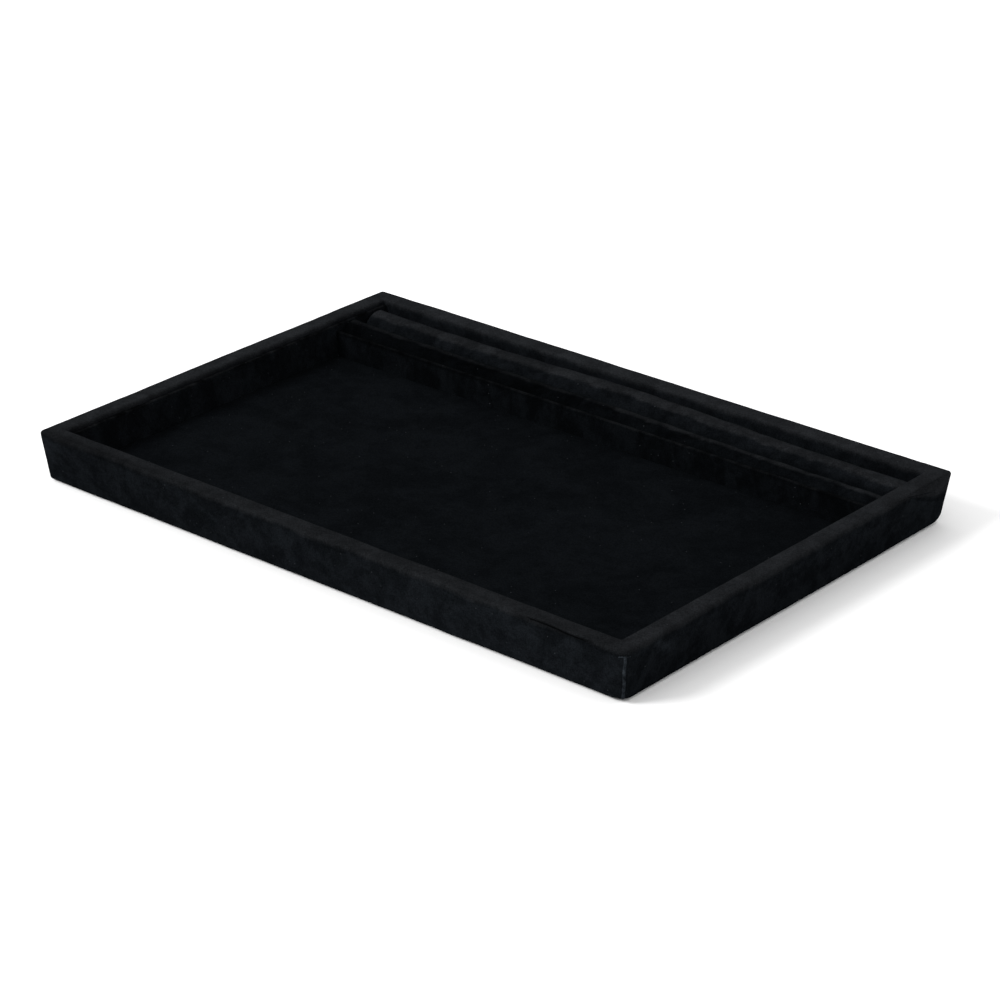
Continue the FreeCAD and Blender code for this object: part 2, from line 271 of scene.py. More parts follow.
def rounded_plane(name, length, width, corner, segments):
    """A plane of this size with rounded corners, open for editing."""
    piece = begin(name, bpy.ops.mesh.primitive_plane_add, size=1)
    bpy.ops.transform.resize(value=(length, width, 1), center_override=(0, 0, 0))
    bpy.ops.mesh.bevel(offset=corner, segments=segments, affect="VERTICES")
    return piece


wall_corners = [
    (HEM_WIDTH + lean(HEM_Z), HEM_Z),
    (lean(HEM_Z), HEM_Z),
    (0, HEIGHT),
    (WALL_IN, HEIGHT),
    (WALL_IN + lean(BASE_TOP), BASE_TOP),
]
wall_section = divided(rounded_line(wall_corners, [FOOT_ROUND, RIM_ROUND, RIM_ROUND]), LOOP_STEP)
hem = wall_section[0].x
wall_velvet = rounded_plane("wall_velvet", LENGTH - 2 * hem, WIDTH - 2 * hem, CORNER_RADIUS, LOOP_SEGMENTS)
bpy.ops.mesh.delete(type="ONLY_FACE")
for long, axis in ((LENGTH, 0), (WIDTH, 1)):
    pick_edges(wall_velvet, lambda a, b: abs((a - b)[axis]) > long / 2)
    bpy.ops.mesh.subdivide(number_cuts=round(long / LOOP_STEP))
bpy.ops.mesh.select_all(action="SELECT")
bpy.ops.transform.translate(value=(0, 0, HEM_Z))
print("section points", len(wall_section), "length mm", round(line_length(wall_section) / MM, 1))

# %% Extrude the wall velvet over its section
def extrude_ring(here, there):
    """Extrudes the selected ring. Each ring is its middle's y, half length, half width and height."""
    middle, half_x, half_y, z = here
    new_middle, new_x, new_y, new_z = there
    bpy.ops.mesh.extrude_edges_move(TRANSFORM_OT_translate={"value": (0, 0, new_z - z)})
    scale = (new_x / half_x, new_y / half_y, 1)
    bpy.ops.transform.resize(value=scale, center_override=(0, middle, new_z))
    bpy.ops.transform.translate(value=(0, new_middle - middle, 0))


def outward(piece, place):
    """Turns the faces round if those nearest a place outside the piece look away from it."""
    nearest = min(piece.data.polygons, key=lambda face: (face.center - Vector(place)).length)
    if nearest.normal.dot(Vector(place) - nearest.center) < 0:
        piece.data.flip_normals()


wall_rings = [(0, LENGTH / 2 - inset, WIDTH / 2 - inset, z) for inset, z in wall_section]
for here, there in zip(wall_rings, wall_rings[1:]):
    extrude_ring(here, there)
end_extruding(wall_velvet)
outward(wall_velvet, (LENGTH, 0, HEIGHT / 2))
report(wall_velvet)

# %% [markdown]
# ## The band's corners
# At the foot of the two right corners the cloth is pulled round under the base, so they are drawn round
# there. At the rim it is folded tight, and blunter on the left, where it goes round in one piece. Separate
# bevels would do it, but the band is made of whole rings, so it is simpler to set the corner of every ring to
# the radius for its height.

# %% Corners of the wall velvet
RIM_CORNER, BLUNT_CORNER = 0.9 * MM, 2.4 * MM
FOOT_CORNER, FOOT_RISE = 7.4 * MM, 4.6 * MM
RIM_REACH = 3 * MM
LOOP_POINTS = len(wall_velvet.data.vertices) // len(wall_section)
RIM_RING = next(i for i, point in enumerate(wall_section) if point.y > HEIGHT - RIM_REACH)


def corner_radius(z):
    """Plan radius of the right corners outside, which grows towards the foot."""
    share = max(0.0, 1 - (z - HEM_Z) / (FOOT_RISE - HEM_Z))
    return CORNER_RADIUS + (FOOT_CORNER - CORNER_RADIUS) * share ** 2


def set_corner(co, half_x, half_y, radius):
    """Moves a point of a rectangular loop so that the loop's corners get this radius."""
    dx, dy = abs(co.x) - half_x + radius, abs(co.y) - half_y + radius
    if dx > 0 and dy > 0:
        scale = radius / math.hypot(dx, dy)
        x, y = half_x - radius + dx * scale, half_y - radius + dy * scale
    else:
        x, y = (half_x, abs(co.y)) if dx > 0 else (abs(co.x), half_y)
    co.x, co.y = math.copysign(x, co.x), math.copysign(y, co.y)


for vertex in wall_velvet.data.vertices:
    ring = vertex.index // LOOP_POINTS
    inset, z = wall_section[ring]
    right_side = vertex.co.x > 0
    if ring < RIM_RING:
        radius = (corner_radius(z) if right_side else CORNER_RADIUS) - max(0.0, inset - lean(z))
    else:
        radius = RIM_CORNER if right_side else BLUNT_CORNER - inset
    set_corner(vertex.co, LENGTH / 2 - inset, WIDTH / 2 - inset, max(radius, RIM_CORNER))
print("rings", len(wall_section), "of", LOOP_POINTS, "points, rim from ring", RIM_RING)

# %% [markdown]
# ## Brush marks and painted light
# Hands leave velvet paler or darker where they brush it. Two numbers are stored at each point for the finish
# to read: its height above the piece's top line, which tells where the cloth bends and where its top is
# painted paler, and how much paler or darker it is marked. Most marks are brushing, but the paler back end
# of the right side is a painted highlight and the crease at the front rim is painted shade. A painted image
# could hold these, but a few marks that fade in along the axes say the same. Each face has a few named marks,
# and the right side also has one finger stroke.

# %% Numbers stored for the finish
def mark(piece, name, value_at):
    """Stores a number at each point of a piece, which its finish reads."""
    layer = piece.data.attributes.new(name, "FLOAT", "POINT")
    for vertex in piece.data.vertices:
        layer.data[vertex.index].value = value_at(vertex.co)


def ramp(value, start, stop):
    """Share from 0 at start to 1 at stop, in millimetres, held at the ends."""
    return max(0.0, min(1.0, (value / MM - start) / (stop - start)))


def hump(value, middle, reach):
    """A smooth hump, 1 at its middle, which dies away over the reach."""
    return math.exp(-(((value - middle) / reach) ** 2))


def summed_marks(co, marks):
    """Sum of named marks at a point: each is an amount, and where it fades in along some axes."""
    total = 0.0
    for amount, fades in marks.values():
        for axis, (start, stop) in fades.items():
            amount *= ramp(getattr(co, axis), start, stop)
        total += amount
    return total


# %% Brush marks on the wall velvet
RIM_FROM, FRONT_FACE, SIDE_FACE = 23.6 * MM, (-116, -117), (171, 172)
RIM_MARKS = {
    "paler to the back": (0.1, {"x": (160, 150), "y": (-100, 20)}),
    "dark along the front": (-0.2, {"y": (-109, -111)}),
    "dull outer edge on the left": (-0.3, {"x": (-40, -110), "y": (-115, -118)}),
}
FRONT_MARKS = {
    "dark all over": (-0.12, {"y": FRONT_FACE}),
    "paler to the right": (0.45, {"x": (-130, 150), "y": FRONT_FACE}),
    "pale left end": (0.35, {"x": (-158, -172), "y": FRONT_FACE}),
}
SIDE_MARKS = {
    "paler to the top": (0.18, {"z": (12, 20)}),
    # The paler back end is a painted highlight, where the rounded back corner catches the light.
    "painted highlight at the back end": (0.75, {"y": (85, 117)}),
}
FINGER_Y, FINGER_Z, FINGER_RADIUS, FINGER_WIDTH = -88, 25, 9, 1.7
FINGER_PALER, FINGER_SPAN = 1.2, (-84, -90)


def wall_brushing_and_light(co):
    """The marks of the rim, or else of the front, which go over into those of the right side."""
    if co.z > RIM_FROM:
        return summed_marks(co, RIM_MARKS)
    front = summed_marks(co, FRONT_MARKS)
    from_middle = math.hypot(co.y / MM - FINGER_Y, co.z / MM - FINGER_Z)
    finger = FINGER_PALER * hump(from_middle, FINGER_RADIUS, FINGER_WIDTH) * ramp(co.y, *FINGER_SPAN)
    side = summed_marks(co, SIDE_MARKS) + finger
    return front + ramp(co.x, *SIDE_FACE) * (side - front)


print("marks on the walls", len(RIM_MARKS) + len(FRONT_MARKS) + len(SIDE_MARKS), "and a finger stroke")

# %% [markdown]
# ## A hand-made surface
# Glued velvet is never quite flat. A Displace modifier with a soft cloud texture moves the skin by a few
# tenths of a millimetre over patches as wide as a finger, which is enough for the light to break up. Solidify
# then gives the cloth its thickness, inwards, so that its outside stays where it is. At the front rim a short
# wavy crease is also pressed in along the outer edge, and its colour is darkened there as painted shade.

# %% Uneven surface and thickness for cloth
PARTING_FRONT, PARTING_ENDS = -117 * MM, ((118, 124), (158, 152))
PARTING_WAVE, PARTING_PITCH, PARTING_PEAK, PARTING_LEVEL, PARTING_WIDTH = 0.45, 5.1, 131, -0.55, 0.6
PARTING_MOVE, CREASE_PAINTED_SHADE = Vector((0, 0.45, -0.3)) * MM, 0.75
WALL_PATCHES = ((34 * MM, 0.4 * MM), (9 * MM, 0.18 * MM))


def uneven(piece, *patches):
    """Soft unevenness in patches of each width, this high from lowest to highest."""
    for width, height in patches:
        cloud = bpy.data.textures.new(piece.name + "_unevenness", "CLOUDS")
        cloud.noise_scale = width
        cloud.noise_depth = 1
        move = piece.modifiers.new("Unevenness", "DISPLACE")
        move.texture = cloud
        move.texture_coords = "LOCAL"
        move.strength = height
        move.mid_level = 0.5


def thicken(piece, thickness):
    """Gives cloth its thickness, inwards."""
    layer = piece.modifiers.new("Thickness", "SOLIDIFY")
    layer.thickness = thickness
    layer.offset = -1


def front_crease(co):
    """How far a point lies in the pressed crease along the front rim's outer edge, from 0 to 1."""
    if co.y > PARTING_FRONT:
        return 0.0
    around = (co.z - HEIGHT + co.y + WIDTH / 2) / MM
    line = PARTING_WAVE * math.cos((co.x / MM - PARTING_PEAK) / PARTING_PITCH) + PARTING_LEVEL
    ends = math.prod(ramp(co.x, *end) for end in PARTING_ENDS)
    return ends * hump(around, line, PARTING_WIDTH)


mark(wall_velvet, "Crown", lambda co: co.z - HEIGHT)
# The crease is also darkened in the stored marks: painted shade in the crease.
mark(wall_velvet, "Brushed_And_Painted_Light", lambda co: wall_brushing_and_light(co) - CREASE_PAINTED_SHADE * front_crease(co))
for vertex in wall_velvet.data.vertices:
    vertex.co += front_crease(vertex.co) * PARTING_MOVE
uneven(wall_velvet, *WALL_PATCHES)
thicken(wall_velvet, VELVET)
finish_piece(wall_velvet)

# %% [markdown]
# ## Where the strip meets and folds
# The strip's ends meet on the right front corner, where the cut edge shows as a thin pale line, which is also
# given a painted highlight along the corner edge, and at the right back corner a fold of spare cloth is
# turned down over the outside. Both could be bump, but they stand out from the wall and catch the light on
# their edges, so each is a grid that is laid round its corner.

# %% Grid laid round a right corner
TRIM_DEPTH = 8 * MM


def round_the_corner(s, z, proud, back):
    """Point on a right corner: s is along the cloth from the corner, and back is 1 behind or -1 in front."""
    radius = corner_radius(z)
    over = max(0.0, z - HEIGHT + RIM_ROUND)
    proud -= RIM_ROUND - math.sqrt(RIM_ROUND ** 2 - over ** 2)
    quarter = radius * math.pi / 4
    past = s - max(-quarter, min(quarter, s))
    angle = math.pi / 4 + (s - past) / radius
    normal, along = Vector((math.cos(angle), math.sin(angle))), Vector((-math.sin(angle), math.cos(angle)))
    centre = Vector((LENGTH / 2 - lean(z) - radius, WIDTH / 2 - lean(z) - radius))
    point = centre + (radius + proud) * normal + past * along
    return point.x, point.y * back, z


def corner_trim(name, place, columns, rows, thickness):
    """A grid laid out by place(u, v), with shares from 0 to 1, whose last row is marked as its bend."""
    piece = begin_grid(name, columns, rows)
    bpy.ops.object.mode_set(mode="OBJECT")
    mark(piece, "Crown", lambda co: (co.y - 0.5) * TRIM_DEPTH)
    for vertex in piece.data.vertices:
        vertex.co = place(vertex.co.x + 0.5, vertex.co.y + 0.5)
    outward(piece, (LENGTH, math.copysign(WIDTH, piece.data.vertices[0].co.y), HEIGHT / 2))
    thicken(piece, thickness)
    finish_piece(piece)
    seat(piece, "tray", "velvet")
    return piece


# %% Seam on the right front corner
SEAM_LOW, SEAM_HIGH, SEAM_PROUD, SEAM_ROUND = 1.6 * MM, 23.9 * MM, 0.5 * MM, 1.4 * MM
SEAM_WIDTH, SEAM_SHARE, SEAM_RAGGED, RAGGED_LENGTH = 1.5 * MM, 0.85, 0.3, 3 * MM
SEAM_WANDER, WANDER_LENGTH, WANDER_ROW = 0.35 * MM, 6 * MM, 5
SEAM_FLARE, SEAM_CROSS, ARM_DROOP = 5.0 * MM, 0.96, 0.36


def seam_place(u, v):
    """The seam's strip, which wanders a little and ends in a short cross stroke with drooping arms."""
    cross = v > SEAM_CROSS
    z = SEAM_LOW + v * (SEAM_HIGH - SEAM_LOW)
    ragged = SEAM_SHARE + SEAM_RAGGED * noise.noise(Vector((0, 0, z / RAGGED_LENGTH)))
    wander = SEAM_WANDER * noise.noise(Vector((WANDER_ROW, 0, z / WANDER_LENGTH)))
    s = (u - 0.5) * (SEAM_WIDTH * ragged + SEAM_FLARE * cross) + wander
    proud = SEAM_PROUD - SEAM_ROUND * (u - 0.5) ** 2
    return round_the_corner(s, z - ARM_DROOP * abs(s) * cross, proud, -1)


corner_seam = corner_trim("corner_seam", seam_place, columns=6, rows=44, thickness=0.3 * MM)

# %% Fold at the right back corner
FOLD_EDGE = [(-36, 24.4), (-30, 22.0), (-26, 19.9), (-17, 16.2), (-8, 13.0), (0, 11.8), (8, 15.4), (15, 24.4)]
FOLD_TOP, FOLD_PROUD, FOLD_THINNER = 25.0 * MM, 0.28, 0.2
FOLD_RIDGE, FOLD_CREASE, FOLD_CALM = (0.5, 0.68, 0.07), (-0.32, 0.52, 0.06), (-3, -12)


def fold_place(u, v):
    """The fold's cloth: flush at its edges and at the corner, with a crease and a ridge in front of it."""
    places, edges = zip(*FOLD_EDGE)
    s = (places[0] + u * (places[-1] - places[0])) * MM
    z = FOLD_TOP + v * (float(np.interp(s / MM, places, edges)) * MM - FOLD_TOP)
    relief = sum(height * hump(v, middle, reach) for height, middle, reach in (FOLD_RIDGE, FOLD_CREASE))
    proud = FOLD_PROUD + relief * ramp(s, *FOLD_CALM) - FOLD_THINNER * v
    return round_the_corner(s, z, proud * MM, 1)


corner_fold = corner_trim("corner_fold", fold_place, columns=56, rows=24, thickness=0.4 * MM)

# %% Seat the wall velvet
WALLS = ("front", "back", "left", "right")
seat(wall_velvet, "tray", "velvet", *[side + "_wall_velvet" for side in WALLS])
print("strip", round(2 * (LENGTH + WIDTH) / MM), "by", round(line_length(wall_section) / MM, 1), "mm")

# %% [markdown]
# ## Strips folded over card
# The inside of the front, left and right walls is lined with card that is covered in velvet, and so is the
# upright facing in front of the rolls. Each cover is a flat strip, glued up the face and folded over the
# card's top edge. It could be extruded, but it is more like the real job to lay out a flat grid of the cut
# size and fold it: every row keeps its distance along the section, so the cloth doesn't stretch.

# %% Fold a flat strip
STRIP_STEP, STRIP_ROW, FOLD_FREE = 2.6 * MM, 1.8 * MM, 1.5 * MM
WAVE_LENGTH, WAVE_SPREAD, WAVE_BIAS, WAVE_RISE = 28 * MM, 9, 0.4, 0.3
LOOK_FROM = 20 * MM


def folded_strip(name, section, ends, place, wave):
    """Folds a flat grid along a section of points (depth, height).

    ends(depth, height) gives the two ends of a row, and place(along, depth, height) its points in the tray.
    wave(along) is how far the top edge wanders from side to side.
    """
    rows = divided(section, STRIP_ROW)
    last_row = len(rows) - 1
    first, last = ends(*rows[0])
    length = last - first
    piece = begin_grid(name, round(length / STRIP_STEP), last_row)
    bpy.ops.transform.resize(value=(length, last_row, 1), center_override=(0, 0, 0))
    bpy.ops.object.mode_set(mode="OBJECT")
    foot, top = min(row.y for row in rows), max(row.y for row in rows)
    for vertex in piece.data.vertices:
        depth, height = rows[min(last_row, round(vertex.co.y + last_row / 2))]
        left, right = ends(depth, height)
        along = left + (vertex.co.x / length + 0.5) * (right - left)
        rise = (height - foot) / (top - foot)
        free = rise * rise * min(1.0, abs(depth - rows[-1].x) / FOLD_FREE)
        swing = noise.noise(Vector((along / WAVE_LENGTH, length * WAVE_SPREAD, 0))) - WAVE_BIAS
        shift = wave(along) * free * swing
        vertex.co = place(along, depth - shift, height + abs(shift) * WAVE_RISE)
    return piece


def finish_strip(piece, towards, top):
    """Faces a strip to the well, marks its top line and gives it its thickness."""
    middle = sum((vertex.co for vertex in piece.data.vertices), Vector()) / len(piece.data.vertices)
    outward(piece, middle + LOOK_FROM * Vector(towards))
    mark(piece, "Crown", lambda co: co.z - top)
    thicken(piece, LINER_VELVET)
    finish_piece(piece)


# %% Three liner strips
LINER_FOLD, LINER_LAP, LINER_WAVE, WAVE_FADE = 0.75 * MM, 0.1 * MM, 0.9 * MM, (66, 56)
liner_corners = [
    (LINER_IN + lean(BASE_TOP), BASE_TOP),
    (LINER_IN + lean(LINER_TOP), LINER_TOP),
    (WALL_IN + lean(LINER_TOP) + LINER_LAP, LINER_TOP),
]
liner_section = rounded_line(liner_corners, [LINER_FOLD])


def front_ends(depth, height):
    return depth - LENGTH / 2, LENGTH / 2 - depth


def side_ends(depth, height):
    return depth - WIDTH / 2, WIDTH / 2 - WALL_IN - lean(height)


def side_wave(along):
    """Loose along the well, and flat beside the insert, which needs its gap."""
    return LINER_WAVE * ramp(along, *WAVE_FADE)


LINERS = {
    "front": (front_ends, lambda along, depth, z: (along, depth - WIDTH / 2, z), (0, 1, 0), LENGTH),
    "left": (side_ends, lambda along, depth, z: (depth - LENGTH / 2, along, z), (1, 0, 0), WIDTH),
    "right": (side_ends, lambda along, depth, z: (LENGTH / 2 - depth, along, z), (-1, 0, 0), WIDTH),
}
for side, (ends, place, towards, length) in LINERS.items():
    wave = (lambda along: LINER_WAVE) if side == "front" else side_wave
    liner = folded_strip(side + "_liner", liner_section, ends, place, wave)
    finish_strip(liner, towards, LINER_TOP)
    seat(liner, "tray", "velvet", side + "_liner_velvet")

# %% [markdown]
# ## The facing of the ring slot
# The facing is the same job: a strip of velvet up the front of a card and over its top edge, which shows as
# the thin light line along the slot. It belongs to the insert, so it rides on that body and lifts out with
# the rolls.

# %% Facing strip
INSERT_DEPTH, INSERT_GAP = 38.5 * MM, 0.3 * MM
FACING_FRONT = WIDTH / 2 - WALL_IN - INSERT_DEPTH
FACING_BACK = FACING_FRONT + FACING_LAYERS
FACING_FOLD, FACING_WAVE = 0.7 * MM, 0.25 * MM
TOP_EDGE = (FACING_TOP / MM - 2, FACING_TOP / MM - 1)
FACING_MARKS = {
    "dark top edge": (-0.4, {"z": TOP_EDGE}),
    "less dark from the middle on": (0.4, {"z": TOP_EDGE, "x": (-75, -20)}),
    "darker right end": (-0.15, {"z": TOP_EDGE, "x": (50, 110)}),
    "pale below the edge": (0.2, {"z": TOP_EDGE[::-1]}),
}


def insert_half(z):
    """Half the insert's length at height z, between the side liners."""
    return LENGTH / 2 - lean(z) - LINER_IN - INSERT_GAP * SLANT


facing_corners = [(FACING_FRONT, BASE_TOP), (FACING_FRONT, FACING_TOP), (FACING_BACK, FACING_TOP)]
facing_section = rounded_line(facing_corners, [FACING_FOLD])
facing = folded_strip(
    "facing",
    facing_section,
    lambda depth, z: (-insert_half(z), insert_half(z)),
    lambda along, depth, z: (along, depth, z),
    lambda along: FACING_WAVE,
)
mark(facing, "Brushed_And_Painted_Light", lambda co: summed_marks(co, FACING_MARKS))
finish_strip(facing, (0, -1, 0), FACING_TOP)
seat(facing, "ring_insert", "velvet", "facing_velvet")

# %% [markdown]
# ## Two rolls of foam in velvet sleeves
# A ring is held between two soft rolls. Each has a flat foot, upright sides and a crest that lies towards one
# side. A circle is pulled to that section and extruded along the insert, with its last steps drawn in for the
# rounded ends. The same loft, a little smaller, is the foam inside. The sleeve is then blown up by a short
# cloth simulation, because a stuffed sleeve swells between the places where it is glued, and plain geometry
# doesn't.

# %% Section of a roll
FOOT_Z = 5.4 * MM
SIDE_POINTS, ARC_POINTS = 6, 9


def roll_side(crest_y, crest_z, run, fall, way, inset):
    """Points (y, z) down one side of a roll, from its crest to its shoulder. way is -1 in front, 1 behind."""
    radius = (run * run + fall * fall) / (2 * fall)
    points = []
    for i in range(1, ARC_POINTS + 1):
        part = (run - inset) * i / ARC_POINTS
        drop = radius - math.sqrt((radius - inset) ** 2 - part * part)
        points.append(Vector((crest_y + way * part, crest_z - drop)))
    return points


def roll_outline(back, width, crest_z, shares, inset):
    """Closed outline (y, z) of a roll, from the middle of its foot round by its front."""
    crest_share, back_share, front_share = shares
    height = crest_z - FOOT_Z
    back_run = width * crest_share
    crest_y = back - back_run
    front = roll_side(crest_y, crest_z, width - back_run, height * (1 - front_share), -1, inset)
    rear = roll_side(crest_y, crest_z, back_run, height * (1 - back_share), 1, inset)
    foot_front, foot_rear = [Vector((side[-1].x, FOOT_Z)) for side in (front, rear)]
    middle, quarter = back - width / 2, (width / 2 - inset) / 2
    outline = [Vector((middle, FOOT_Z)), Vector((middle - quarter, FOOT_Z))]
    outline += [foot_front.lerp(front[-1], i / SIDE_POINTS) for i in range(SIDE_POINTS)]
    outline += front[::-1] + [Vector((crest_y, crest_z - inset))] + rear
    outline += [rear[-1].lerp(foot_rear, i / SIDE_POINTS) for i in range(1, SIDE_POINTS + 1)]
    outline.append(Vector((middle + quarter, FOOT_Z)))
    return outline


# %% Loft of a roll
ROLL_STEPS = 108
END_STEPS = ((1.4 * MM, 0.0), (0.7 * MM, 0.02), (0.2 * MM, 0.07), (0.0, 0.16))


def roll_stations(inset):
    """Places along a roll, as (x at the foot, how far the section draws in there)."""
    half = insert_half(FOOT_Z) - inset
    run = half - END_STEPS[0][0]
    inner = [(-run + 2 * run * i / ROLL_STEPS, 0.0) for i in range(ROLL_STEPS + 1)]
    ends = [(half - back, draw) for back, draw in END_STEPS[1:]]
    return [(-x, draw) for x, draw in ends[::-1]] + inner + ends


def roll_loft(name, outline, stations):
    """A circle of points, shaped to the outline and extruded through the stations, closed at both ends."""
    piece = begin(name, bpy.ops.mesh.primitive_circle_add, vertices=len(outline), fill_type="NOTHING")
    mesh = bmesh.from_edit_mesh(piece.data)
    for vertex, point in zip(mesh.verts, outline):
        vertex.co = (0, point.x, point.y)
    bmesh.update_edit_mesh(piece.data)
    centre = sum(outline, Vector((0, 0))) / len(outline)
    x_now, draw_now = 0.0, 0.0
    for number, (x, draw) in enumerate(stations):
        if number:
            bpy.ops.mesh.extrude_edges_move(TRANSFORM_OT_translate={"value": (x - x_now, 0, 0)})
        else:
            bpy.ops.transform.translate(value=(x, 0, 0))
        if draw != draw_now:
            scale = (1 - draw) / (1 - draw_now)
            bpy.ops.transform.resize(value=(1, scale, scale), center_override=(x, centre.x, FOOT_Z))
        x_now, draw_now = x, draw
    bpy.ops.mesh.select_all(action="SELECT")
    bpy.ops.mesh.fill_holes(sides=0)
    end_extruding(piece)
    return piece


# %% Sizes, uneven crests and brush marks of the two rolls
FRONT_WIDTH, SLOT_WIDTH, ROLL_GAP = 13.6 * MM, 1.6 * MM, 0.2 * MM
FRONT_ROLL_BACK = FACING_BACK + ROLL_GAP + FRONT_WIDTH
REAR_ROLL_BACK = WIDTH / 2 - lean(BASE_TOP) - WALL_IN - INSERT_GAP * SLANT
REAR_WIDTH = REAR_ROLL_BACK - FRONT_ROLL_BACK - SLOT_WIDTH
ROLLS = {
    "rear_roll": {
        "section": (REAR_ROLL_BACK, REAR_WIDTH, top_of("rear_roll_velvet"), (0.34, 0.74, 0.45)),
        "lift": (-0.6 * MM, -0.6 * MM, 2.4 * MM, 8 * MM, 66 * MM),
        "marks": {
            # The paler crest is a painted highlight on the roll's top.
            "painted highlight on the crest": (0.12, {"z": (18, 21)}),
            "paler right end of the crest": (0.2, {"z": (18, 21), "x": (40, 140)}),
            "dark right end of the front": (-0.4, {"z": (21, 18), "x": (50, 150)}),
        },
    },
    "front_roll": {
        "section": (FRONT_ROLL_BACK, FRONT_WIDTH, top_of("front_roll_velvet"), (0.36, 0.72, 0.7)),
        "lift": (0.5 * MM, -1.0 * MM, 0.5 * MM, 10 * MM, 45 * MM),
        "marks": {
            "dark all over": (-0.3, {}),
            "paler to the right": (0.6, {"x": (-60, 100)}),
            "pale right end": (0.4, {"x": (110, 150)}),
        },
    },
}


def shape_roll(piece, crest_z, base, slope, swell, place, reach):
    """Spreads a roll with height, as the side walls do, and lifts its crest by a slope and one hump."""
    foot_half = insert_half(FOOT_Z)
    for vertex in piece.data.vertices:
        vertex.co.x *= insert_half(vertex.co.z) / foot_half
        rise = max(0.0, vertex.co.z - FOOT_Z) / (crest_z - FOOT_Z)
        lift = base + slope * vertex.co.x / foot_half + swell * hump(vertex.co.x, place, reach)
        vertex.co.z += rise ** 2 * lift


for name, roll in ROLLS.items():
    outline = roll_outline(*roll["section"], 0)
    girth = line_length(outline + outline[:1])
    print(name, "outline", len(outline), "points, girth mm", round(girth / MM, 1))

# %% [markdown]
# ## Blowing up a sleeve
# Blender's Cloth with inner pressure and no gravity swells the loft in a few frames. The foot and the lower
# sides are pinned, as glue pins them on the card. Each point may move only a fraction of a millimetre, so
# that the roll keeps clear of its neighbours, and the result is applied to the mesh.

# %% Cloth simulation for padded pieces
FRAMES, CLOTH_QUALITY, CLOTH_MASS, CLOTH_STIFFNESS = 20, 8, 0.02, 0.05


def blow_up(piece, held, pressure, most):
    """Swells a closed or pinned mesh by inner pressure. held(co) is the pinned share of a point."""
    before = [vertex.co.copy() for vertex in piece.data.vertices]
    group = piece.vertex_groups.new(name="Glued")
    for vertex in piece.data.vertices:
        group.add([vertex.index], held(vertex.co), "REPLACE")
    cloth = piece.modifiers.new("Swell", "CLOTH").settings
    cloth.quality = CLOTH_QUALITY
    cloth.mass = CLOTH_MASS
    cloth.use_pressure = True
    cloth.uniform_pressure_force = pressure
    cloth.vertex_group_mass = group.name
    cloth.effector_weights.gravity = 0
    cloth.bending_stiffness = CLOTH_STIFFNESS
    for number in range(1, FRAMES + 1):
        bpy.context.scene.frame_set(number)
    apply_modifiers(piece)
    bpy.context.scene.frame_set(1)
    moves = []
    for vertex, place in zip(piece.data.vertices, before):
        move = vertex.co - place
        moves.append(move.length)
        if move.length > most:
            vertex.co = place + move.normalized() * most
    piece.vertex_groups.clear()
    print(piece.name, "moved mm", round(max(moves) / MM, 2), "mean", round(sum(moves) / len(moves) / MM, 3))


# %% Sleeves and their foam
ROLL_VELVET, GLUE_RISE, LEVEL = 0.7 * MM, 5 * MM, 0.02 * MM
ROLL_PRESSURE, ROLL_SWELL = 4.0, 0.35 * MM
ROLL_PATCHES = ((15 * MM, 0.6 * MM), (5 * MM, 0.25 * MM))
FOAM_INSET, END_CLEAR = 1.0 * MM, 0.7 * MM


def roll_glue(co):
    """Glued at the foot, and free from a third of the height up."""
    return max(0.0, 1 - max(0.0, co.z - FOOT_Z) / GLUE_RISE)


def open_foot(piece):
    """Takes away the faces that lie on the card."""
    bpy.ops.object.mode_set(mode="EDIT")
    pick_edges(piece, lambda a, b: max(a.z, b.z) < FOOT_Z + LEVEL)
    bpy.ops.mesh.delete(type="FACE")
    bpy.ops.object.mode_set(mode="OBJECT")


for name, roll in ROLLS.items():
    outline, stations = roll_outline(*roll["section"], 0), roll_stations(END_CLEAR)
    crest_z = roll["section"][2]
    # At each end the loft is drawn in over its last steps and closed.
    sleeve = roll_loft(name + "_sleeve", outline, stations)
    mark(sleeve, "Crown", lambda co: co.z - crest_z)
    mark(sleeve, "Brushed_And_Painted_Light", lambda co: summed_marks(co, roll["marks"]))
    shape_roll(sleeve, crest_z, *roll["lift"])
    blow_up(sleeve, roll_glue, ROLL_PRESSURE, ROLL_SWELL)
    open_foot(sleeve)
    uneven(sleeve, *ROLL_PATCHES)
    thicken(sleeve, ROLL_VELVET)
    finish_piece(sleeve)
    seat(sleeve, "ring_insert", "velvet", name + "_velvet")
    outline, stations = roll_outline(*roll["section"], FOAM_INSET), roll_stations(END_CLEAR + FOAM_INSET)
    foam = roll_loft(name + "_core", outline, stations)
    shape_roll(foam, crest_z, *roll["lift"])
    finish_piece(foam)
    seat(foam, "ring_insert", "foam", name + "_foam")

# %% [markdown]
# ## The padded floor
# The floor is a card with a thin foam sheet, covered in velvet that is pulled down its sides. A grid becomes
# the top of the cover, its border is extruded round a soft edge and down to the base, and a weak pressure
# lifts the middle by a fraction of a millimetre. The foam under it is a block with its own soft edges.

# %% Floor cover
FLOOR_TOP, FLOOR_EDGE, FLOOR_GAP = 7.5 * MM, 1.2 * MM, 0.2 * MM
FLOOR_BACK = FACING_FRONT - INSERT_GAP
FLOOR_STEP = 2.6 * MM
EDGE_TURNS = [math.radians(angle) for angle in (0, 30, 60, 90)]


def floor_ring(z, inset):
    """The pad's outline at height z, drawn in by inset: middle's y, half length, half width and height."""
    side = lean(z) + LINER_IN + FLOOR_GAP * SLANT
    front, back = side + inset - WIDTH / 2, FLOOR_BACK - inset
    return (front + back) / 2, LENGTH / 2 - side - inset, (back - front) / 2, z


